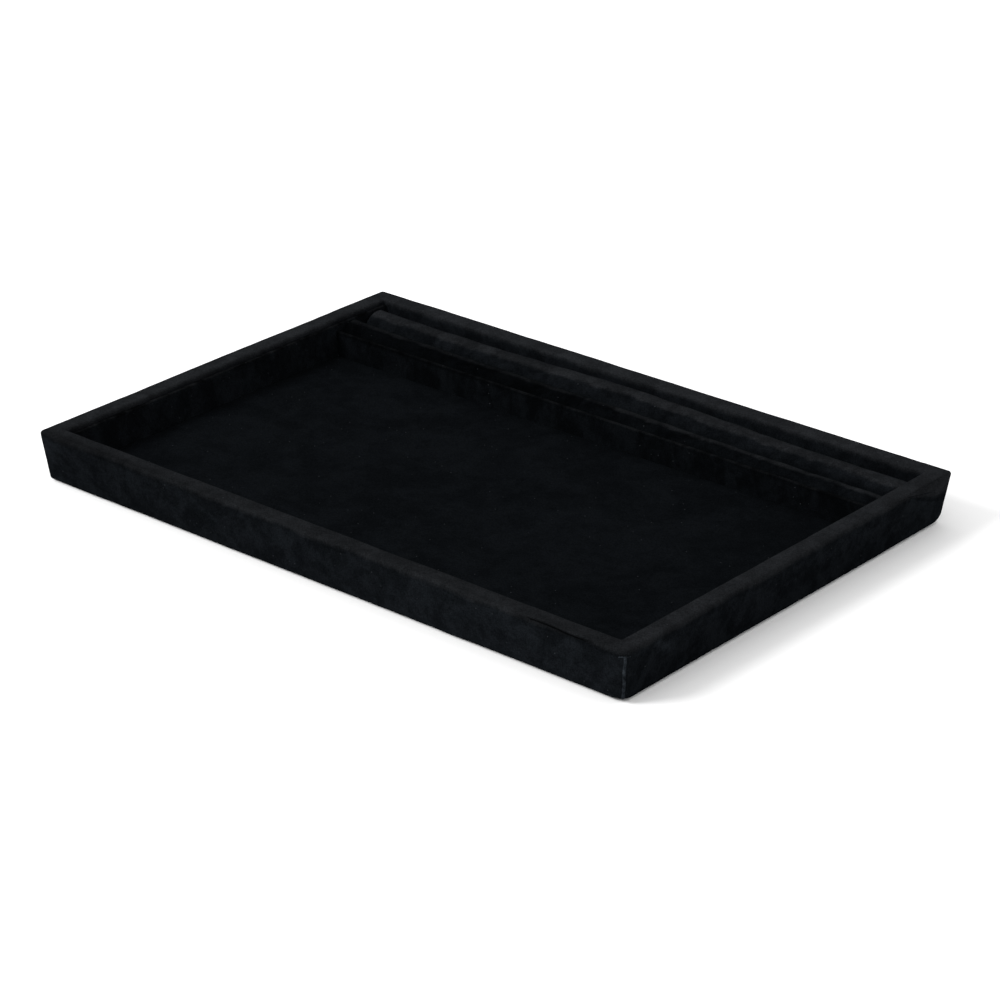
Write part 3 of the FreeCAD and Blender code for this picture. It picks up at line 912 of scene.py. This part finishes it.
floor_rings = []
for turn in EDGE_TURNS:
    drop, inset = FLOOR_EDGE * (1 - math.cos(turn)), FLOOR_EDGE * (1 - math.sin(turn))
    floor_rings.append(floor_ring(FLOOR_TOP - drop, inset))
floor_rings.append(floor_ring(BASE_TOP, 0))
middle, half_x, half_y, z = floor_rings[0]
columns, rows = [round(2 * half / FLOOR_STEP) for half in (half_x, half_y)]
floor_cover = begin_grid("floor_cover", columns, rows)
bpy.ops.transform.resize(value=(2 * half_x, 2 * half_y, 1), center_override=(0, 0, 0))
bpy.ops.transform.translate(value=(0, middle, z))
bpy.ops.mesh.select_all(action="DESELECT")
bpy.ops.mesh.select_non_manifold()
for here, there in zip(floor_rings, floor_rings[1:]):
    extrude_ring(here, there)
end_extruding(floor_cover)
outward(floor_cover, (0, 0, HEIGHT))
report(floor_cover)

# %% Swell the floor cover
FLOOR_PRESSURE, FLOOR_SWELL, FLOOR_FREE = 0.5, 0.25 * MM, 0.1 * MM
FLOOR_PATCHES = ((40 * MM, 0.4 * MM),)


def floor_glue(co):
    """Glued down its sides, and free on top."""
    return 1.0 if co.z < FLOOR_TOP - FLOOR_FREE else 0.0


blow_up(floor_cover, floor_glue, FLOOR_PRESSURE, FLOOR_SWELL)
uneven(floor_cover, *FLOOR_PATCHES)
thicken(floor_cover, VELVET)
finish_piece(floor_cover)
seat(floor_cover, "tray", "velvet", "floor_velvet")

# %% Foam under the floor cover
FOAM_MARGIN, FOAM_EDGE, FOAM_CUTS = Vector((1, 1, 0.5)) * MM, 0.4 * MM, 24
LONG_EDGE = 50 * MM
low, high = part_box("floor_foam")
floor_foam = begin("floor_foam_sheet", bpy.ops.mesh.primitive_cube_add, size=1)
bpy.ops.transform.resize(value=high - low - FOAM_MARGIN, center_override=(0, 0, 0))
bpy.ops.transform.translate(value=(low + high) / 2 - Vector((0, 0, FOAM_MARGIN.z / 2)))
bpy.ops.mesh.bevel(offset=FOAM_EDGE, segments=3, affect="EDGES")
pick_edges(floor_foam, lambda a, b: (a - b).length > LONG_EDGE)
bpy.ops.mesh.subdivide(number_cuts=FOAM_CUTS)
bpy.ops.object.mode_set(mode="OBJECT")
finish_piece(floor_foam)
seat(floor_foam, "tray", "foam", "floor_foam")

# %% [markdown]
# ## The base and the sheet under it
# The base is a fibreboard panel whose corners are sawn round, so that the cloth can be pulled under them. A
# black felted sheet below it hides the hems, and is what the tray stands on. The base could be the plain
# solid, but that has square corners, which would come through the cloth. Both are planes with rounded
# corners, extruded down to their thickness, with eased edges, and the base is drawn in towards its foot by
# the lean of the walls.

# %% Base panel and underside sheet
PANEL_SEGMENTS, EASE_SEGMENTS = 8, 2
BASE_CORNER, BASE_EASE = 6.5 * MM, 0.3 * MM
FELT_CORNER, FELT_EASE = 4 * MM, 0.12 * MM


def rounded_panel(name, solid, slot, corner, ease, inset):
    """A plane of a solid's size with round corners, extruded down to its foot and drawn in by inset there."""
    low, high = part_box(solid)
    piece = rounded_plane(name, high.x - low.x, high.y - low.y, corner, PANEL_SEGMENTS)
    bpy.ops.transform.translate(value=(0, 0, high.z))
    bpy.ops.mesh.extrude_region_move(TRANSFORM_OT_translate={"value": (0, 0, low.z - high.z)})
    scale = (1 - inset / high.x, 1 - inset / high.y, 1)
    bpy.ops.transform.resize(value=scale, center_override=(0, 0, low.z))
    agree_normals()
    pick_edges(piece, lambda a, b: abs(a.z - b.z) < LEVEL)
    bpy.ops.mesh.bevel(offset=ease, segments=EASE_SEGMENTS, affect="EDGES")
    bpy.ops.object.mode_set(mode="OBJECT")
    finish_piece(piece)
    seat(piece, "tray", slot, solid)
    return piece


rounded_panel("base_panel", "base_board", "board", BASE_CORNER, BASE_EASE, LEAN * BASE_BOARD)
underside = rounded_panel("underside_felt", "underside_sheet", "backing", FELT_CORNER, FELT_EASE, 0.0)
low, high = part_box("underside_sheet")

# %% [markdown]
# ## Nap, fibre and lint
# Velvet is a pile of short fibres. Patches of pile that lie different ways catch the light differently,
# single fibres give a fine grain, and dust clings to it. One node group makes these masks from Object
# coordinates, with a scale for each direction, so that a wall can have upright strokes and the floor broad
# clouds, all from one cloth.

# %% Helpers for nodes and groups
NODE_GRID = (200, -180)
SOFT_STEP = {"interpolation_type": "SMOOTHSTEP"}


def plug(tree, value, socket):
    """Sets a socket to a plain value, or links it to an output, or to the first output that a node uses."""
    if isinstance(value, bpy.types.Node):
        value = next(output for output in value.outputs if output.enabled)
    if isinstance(value, bpy.types.NodeSocket):
        tree.links.new(value, socket)
    else:
        socket.default_value = value


def node(tree, kind, place, *ordered, **named):
    """A node at a place on the grid, with properties and inputs given by name, or inputs in their order."""
    made = tree.nodes.new(kind if kind.startswith("Node") else "ShaderNode" + kind)
    made.location = [step * size for step, size in zip(place, NODE_GRID)]
    for key, value in named.items():
        if hasattr(made, key):
            setattr(made, key, value)
        else:
            plug(tree, value, made.inputs[key.replace("_", " ")])
    for value, socket in zip(ordered, [socket for socket in made.inputs if socket.enabled]):
        plug(tree, value, socket)
    return made


def new_group(name, **inputs):
    """A node group with these inputs and their defaults, and the sockets that bring them."""
    group = bpy.data.node_groups.new(name, "ShaderNodeTree")
    for key, default in inputs.items():
        label = key.replace("_", " ")
        socket = group.interface.new_socket(label, in_out="INPUT", socket_type="NodeSocketFloat")
        socket.default_value = default
    return group, node(group, "NodeGroupInput", (0, 0)).outputs


def close_group(group, **results):
    for name in results:
        group.interface.new_socket(name, in_out="OUTPUT", socket_type="NodeSocketFloat")
    node(group, "NodeGroupOutput", (9, 0), *results.values())
    print(group.name, "nodes", len(group.nodes))
    return group


# %% Node group for the nap
MARK_SHARE, LINT_RARITY, BRUSH_HEIGHT = 0.35, 0.55, 0.35


def nap_group():
    group, given = new_group("Nap", Scale_X=40.0, Scale_Y=40.0, Scale_Z=40.0)
    place = node(group, "TexCoord", (0, 2)).outputs["Object"]
    scales = node(group, "CombineXYZ", (1, 0), *given[:3])
    laid = node(group, "VectorMath", (2, 2), place, scales, operation="MULTIPLY")
    patches = node(group, "TexNoise", (3, 1), laid, Scale=1.0, Detail=3.0, Roughness=0.55, Distortion=0.8)
    marks = node(group, "TexNoise", (3, 3), laid, Scale=4.2, Detail=2.0, Roughness=0.6, Distortion=0.5)
    both = node(group, "Mix", (4, 2), MARK_SHARE, patches, marks, data_type="FLOAT")
    brush = node(group, "MapRange", (5, 2), both, From_Min=0.36, From_Max=0.66, **SOFT_STEP)
    fibres = node(group, "TexNoise", (3, 5), place, Scale=1500.0, Detail=2.0, Roughness=0.7)
    fibre = node(group, "MapRange", (5, 5), fibres, From_Min=0.3, From_Max=0.7)
    dust = node(group, "TexVoronoi", (3, 7), place, Scale=230.0)
    speck = node(group, "MapRange", (5, 7), dust, From_Min=0.075, From_Max=0.03)
    rare = node(group, "Math", (5, 8), dust.outputs["Color"], LINT_RARITY, operation="GREATER_THAN")
    lint = node(group, "Math", (6, 7), speck, rare, operation="MULTIPLY")
    pile = node(group, "Math", (6, 4), brush, BRUSH_HEIGHT, fibre, operation="MULTIPLY_ADD")
    return close_group(group, Brush=brush, Fibre=fibre, Lint=lint, Height=pile)


NAP = nap_group()

# %% [markdown]
# ## Where the pile opens, with a painted highlight on top
# Where velvet bends over an edge, its pile opens and looks paler: along the rim, on the crests of the rolls
# and on the folds of the liners. These tops also face the light, and their paler tone is partly a painted
# highlight. The boundary is uneven, because hands have worked it with a brush. A second group turns the
# stored height above the piece's top line, with some wandering noise, into that mask.

# %% Node group for the opened pile
SWING_SPAN, SWING_LOW = 4.0, -2.0


def opened_pile_and_highlight_group():
    group, given = new_group("Opened Pile And Highlight", Low=-0.001, High=0.0, Wander=0.001, Ripple=60.0)
    place = node(group, "TexCoord", (0, 2)).outputs["Object"]
    crown = node(group, "Attribute", (1, 2), attribute_name="Crown").outputs["Fac"]
    ripple = node(group, "TexNoise", (2, 3), place, Scale=given["Ripple"], Detail=4.0, Roughness=0.68)
    swing = node(group, "Math", (3, 3), ripple, SWING_SPAN, SWING_LOW, operation="MULTIPLY_ADD")
    height = node(group, "Math", (4, 2), swing, given["Wander"], crown, operation="MULTIPLY_ADD")
    mask = node(group, "MapRange", (6, 2), height, given["Low"], given["High"], **SOFT_STEP)
    return close_group(group, Mask=mask)


OPENED_PILE_AND_HIGHLIGHT = opened_pile_and_highlight_group()

# %% [markdown]
# ## Black velvet
# Velvet is nearly black where one looks into the pile. Each material goes from a dark to a lighter tone by
# the brush mask, and takes paler tones along its top line, where the pile opens over the bend and where a
# painted highlight lights the top. It also gets a little sheen on the shader itself, which lifts what is
# seen at a low angle. The black is slightly blue, as in the photograph.

# %% Velvet material
CLOSED_TINT, OPENED_AND_LIT_TINT = (0.84, 1.0, 1.2), (0.93, 1.0, 1.11)
LINT_TONE = 0.026
SHEEN = {"Sheen_Weight": 0.002, "Sheen_Roughness": 0.45, "Sheen_Tint": (0.7, 0.85, 1.0, 1)}


def pile_colour(level, tint):
    return (*[level * share for share in tint], 1)


def mix(tree, place, factor, first, second, **settings):
    """A colour mix, each part of which is a plain value or linked."""
    return node(tree, "Mix", place, factor, first, second, data_type="RGBA", **settings)


def new_material(name):
    material = bpy.data.materials.new(name)
    material.use_nodes = True
    material.node_tree.nodes.clear()
    return material, material.node_tree


def close_material(tree, **sockets):
    """Ends a material with its shader, whose sockets are set or linked by name."""
    shader = node(tree, "BsdfPrincipled", (8, 0), **sockets)
    node(tree, "OutputMaterial", (10, 0), shader)


def finish_with(material, pieces):
    for name in pieces:
        materials = bpy.data.objects[name].data.materials
        materials.clear()
        materials.append(material)
    print(material.name, "on", ", ".join(pieces))


def velvet(name, pieces, closed, scales, opened_and_lit=None, bend=None):
    """Black pile on these pieces.

    closed holds the dark and light level of the flat pile, and the other pair those of the tone along the
    top line, where the pile opens and where a painted highlight lights the top. scales sets how fine its
    patches are along each axis. bend is where that tone begins: from and to which height, how far that
    wanders, and how fast.
    """
    material, tree = new_material(name)
    nap = node(tree, "Group", (1, 1), *scales, node_tree=NAP)
    brush, fibre = nap.outputs["Brush"], nap.outputs["Fibre"]
    colour = mix(tree, (3, 0), brush, *[pile_colour(level, CLOSED_TINT) for level in closed])
    if opened_and_lit:
        # Along the top line the tone changes: partly the pile opening, partly a painted highlight on the top.
        crown = node(tree, "Group", (1, 4), *bend, node_tree=OPENED_PILE_AND_HIGHLIGHT)
        pale = mix(tree, (3, 2), brush, *[pile_colour(level, OPENED_AND_LIT_TINT) for level in opened_and_lit])
        colour = mix(tree, (4, 1), crown, colour, pale)
    grain = node(tree, "MapRange", (4, 2), fibre, To_Min=0.6, To_Max=1.4)
    # These stored marks are mostly brushing, but also hold a painted highlight and painted shade.
    marks = node(tree, "Attribute", (4, 4), attribute_name="Brushed_And_Painted_Light").outputs["Fac"]
    level = node(tree, "Math", (5, 2), grain, marks, grain, operation="MULTIPLY_ADD")
    grained = mix(tree, (5, 0), 1.0, colour, level, blend_type="MULTIPLY")
    dusty = mix(tree, (6, 0), nap.outputs["Lint"], grained, pile_colour(LINT_TONE, OPENED_AND_LIT_TINT))
    rough = node(tree, "MapRange", (5, 3), fibre, To_Min=0.88, To_Max=1.0)
    bump = node(tree, "Bump", (6, 3), Strength=0.4, Distance=0.0002, Height=nap.outputs["Height"])
    close_material(tree, Base_Color=dusty, Roughness=rough, Normal=bump, Specular_IOR_Level=0.0, **SHEEN)
    finish_with(material, pieces)


# %% The tray's velvets
# The second pair of tones of each velvet, on rims, crests and folds, is partly a painted highlight.
WALL_PILE = {"closed": (0.0025, 0.0052), "opened_and_lit": (0.0076, 0.0118), "scales": (75.0, 75.0, 80.0)}
ROLL_SCALES = (55.0, 55.0, 55.0)
velvet("wall_cloth", ["wall_velvet"], bend=(-0.0034, -0.0002, 0.0012, 55.0), **WALL_PILE)
velvet("fold_cloth", ["corner_fold"], bend=(-0.0008, -0.0040, 0.0005, 80.0), **WALL_PILE)
# The corner seam's pale tone is partly its cut edge and partly a painted highlight along the corner.
velvet("seam_cloth_and_highlight", ["corner_seam"], closed=(0.0040, 0.0210), scales=(150.0, 150.0, 150.0))
velvet("floor_cloth", ["floor_cover"], closed=(0.0022, 0.0035), scales=(34.0, 34.0, 34.0))
velvet(
    "liner_cloth",
    [side + "_liner" for side in LINERS],
    closed=(0.0026, 0.0056),
    scales=(70.0, 70.0, 60.0),
    opened_and_lit=(0.0008, 0.0062),
    bend=(-0.0009, 0.0, 0.0005, 80.0),
)
velvet(
    "facing_cloth",
    ["facing"],
    closed=(0.0013, 0.0031),
    scales=(70.0, 60.0, 50.0),
    opened_and_lit=(0.0014, 0.0050),
    bend=(-0.0006, 0.0, 0.0004, 80.0),
)
velvet(
    "rear_roll_cloth",
    ["rear_roll_sleeve"],
    closed=(0.0020, 0.0046),
    scales=ROLL_SCALES,
    opened_and_lit=(0.0054, 0.0108),
    bend=(-0.0017, -0.0006, 0.0007, 85.0),
)
velvet(
    "front_roll_cloth",
    ["front_roll_sleeve"],
    closed=(0.0009, 0.0021),
    scales=ROLL_SCALES,
    opened_and_lit=(0.0036, 0.0074),
    bend=(-0.0004, 0.0001, 0.0003, 75.0),
)

# %% [markdown]
# ## Boards, cards, foam, felt and brads
# The hidden pieces show when the insert is lifted out or the tray is taken apart. They share one effect,
# flecks of fibre in two tones, so that effect is a group of its own: long and coarse on fibreboard, fine on
# card, round like open cells on foam, matted on felt, and drawn out to streaks on the wire of the brads.

# %% Node group for flecks
FLECK_TURN, CLOUD_SHARE, ROUGHNESS_SPREAD = 0.4, 0.35, 0.08


def fleck_group():
    group, given = new_group("Flecks", Scale=400.0, Stretch=0.3)
    place = node(group, "TexCoord", (0, 2)).outputs["Object"]
    stretch = node(group, "CombineXYZ", (0, 3), given["Stretch"], 1.0, 1.0)
    laid = node(group, "Mapping", (1, 2), place, Rotation=(0, 0, FLECK_TURN), Scale=stretch)
    fibres = {"Detail": 4.0, "Roughness": 0.65, "Distortion": 1.2}
    flecks = node(group, "TexNoise", (2, 2), laid, Scale=given["Scale"], **fibres)
    sharp = node(group, "MapRange", (4, 2), flecks, From_Min=0.38, From_Max=0.64, **SOFT_STEP)
    cloud = node(group, "TexNoise", (2, 4), place, Scale=45.0, Detail=2.0)
    return close_group(group, Fleck=sharp, Grain=cloud)


FLECKS = fleck_group()


def flecked(name, pieces, dark, light, scale, stretch, roughness, **constants):
    """Flecks of two tones on these pieces."""
    material, tree = new_material(name)
    flecks = node(tree, "Group", (1, 1), scale, stretch, node_tree=FLECKS)
    fleck = flecks.outputs["Fleck"]
    tone = mix(tree, (3, 0), fleck, (*dark, 1), (*light, 1))
    cloudy = mix(tree, (5, 0), CLOUD_SHARE, tone, flecks.outputs["Grain"], blend_type="MULTIPLY")
    low, high = roughness - ROUGHNESS_SPREAD, roughness + ROUGHNESS_SPREAD
    rough = node(tree, "MapRange", (4, 3), fleck, To_Min=low, To_Max=high)
    bump = node(tree, "Bump", (6, 3), Strength=0.25, Distance=0.0001, Height=fleck)
    close_material(tree, Base_Color=cloudy, Roughness=rough, Normal=bump, **constants)
    finish_with(material, pieces)


# %% Finishes of the hidden pieces
BOARDS = ["base_panel"] + [side + "_wall_board" for side in WALLS]
CARDS = ["floor_card", "insert_card", "facing_card"] + [side + "_liner_card" for side in LINERS]
FOAMS = ["floor_foam_sheet"] + [name + "_core" for name in ROLLS]
FELTS, BRADS = ["underside_felt"], ["base_brads", "corner_brads"]
BOARD_TONES = (0.24, 0.15, 0.08), (0.42, 0.29, 0.17)
CARD_TONES = (0.03, 0.03, 0.032), (0.065, 0.065, 0.069)
FOAM_TONES = (0.03, 0.03, 0.032), (0.09, 0.09, 0.095)
FELT_TONES = (0.004, 0.004, 0.0045), (0.016, 0.016, 0.017)
WIRE_TONES = (0.42, 0.42, 0.44), (0.6, 0.6, 0.62)
MATT = {"Specular_IOR_Level": 0.1}
flecked("fibreboard", BOARDS, *BOARD_TONES, scale=700.0, stretch=0.35, roughness=0.8)
flecked("black_card", CARDS, *CARD_TONES, scale=900.0, stretch=0.5, roughness=0.85)
flecked("dark_foam", FOAMS, *FOAM_TONES, scale=1600.0, stretch=1.0, roughness=0.9, **MATT)
flecked("black_felt", FELTS, *FELT_TONES, scale=1100.0, stretch=0.6, roughness=0.9, **MATT)
flecked("drawn_wire", BRADS, *WIRE_TONES, scale=1200.0, stretch=0.05, roughness=0.32, Metallic=1.0)

# %% [markdown]
# ## Floor and light
# The photograph has a plain white ground and soft light from all round, a little stronger from the left. A
# wide white floor under a bright even sky gives that, and one large softbox at the left shapes the walls.

# %% Stage
GROUND_SIZE, GROUND_Z, GROUND_TONE = 12, -0.2 * MM, 0.9
SKY_STRENGTH = 1.1
LAMP_PLACE, LAMP_SIZE, LAMP_POWER = Vector((-0.9, -1.5, 1.3)), 0.9, 38.0

ground = begin("ground", bpy.ops.mesh.primitive_plane_add, size=GROUND_SIZE, location=(0, 0, GROUND_Z))
bpy.ops.object.mode_set(mode="OBJECT")
paper, paper_tree = new_material("white_ground")
paper_colour = (GROUND_TONE, GROUND_TONE, GROUND_TONE, 1)
close_material(paper_tree, Base_Color=paper_colour, Roughness=0.9, **MATT)
ground.data.materials.append(paper)

sky = bpy.data.worlds.new("studio_sky")
sky.use_nodes = True
sky.node_tree.nodes["Background"].inputs["Color"].default_value = (1, 1, 1, 1)
sky.node_tree.nodes["Background"].inputs["Strength"].default_value = SKY_STRENGTH
bpy.context.scene.world = sky

lamp = bpy.data.objects.new("key_softbox", bpy.data.lights.new("key_softbox", "AREA"))
bpy.context.scene.collection.objects.link(lamp)
lamp.data.shape = "DISK"
lamp.data.size = LAMP_SIZE
lamp.data.energy = LAMP_POWER
lamp.location = LAMP_PLACE
lamp.rotation_mode = "QUATERNION"
lamp.rotation_quaternion = (-LAMP_PLACE).to_track_quat("-Z", "Y")
bpy.context.scene.view_settings.view_transform = "Standard"
bpy.context.scene.view_settings.look = "None"
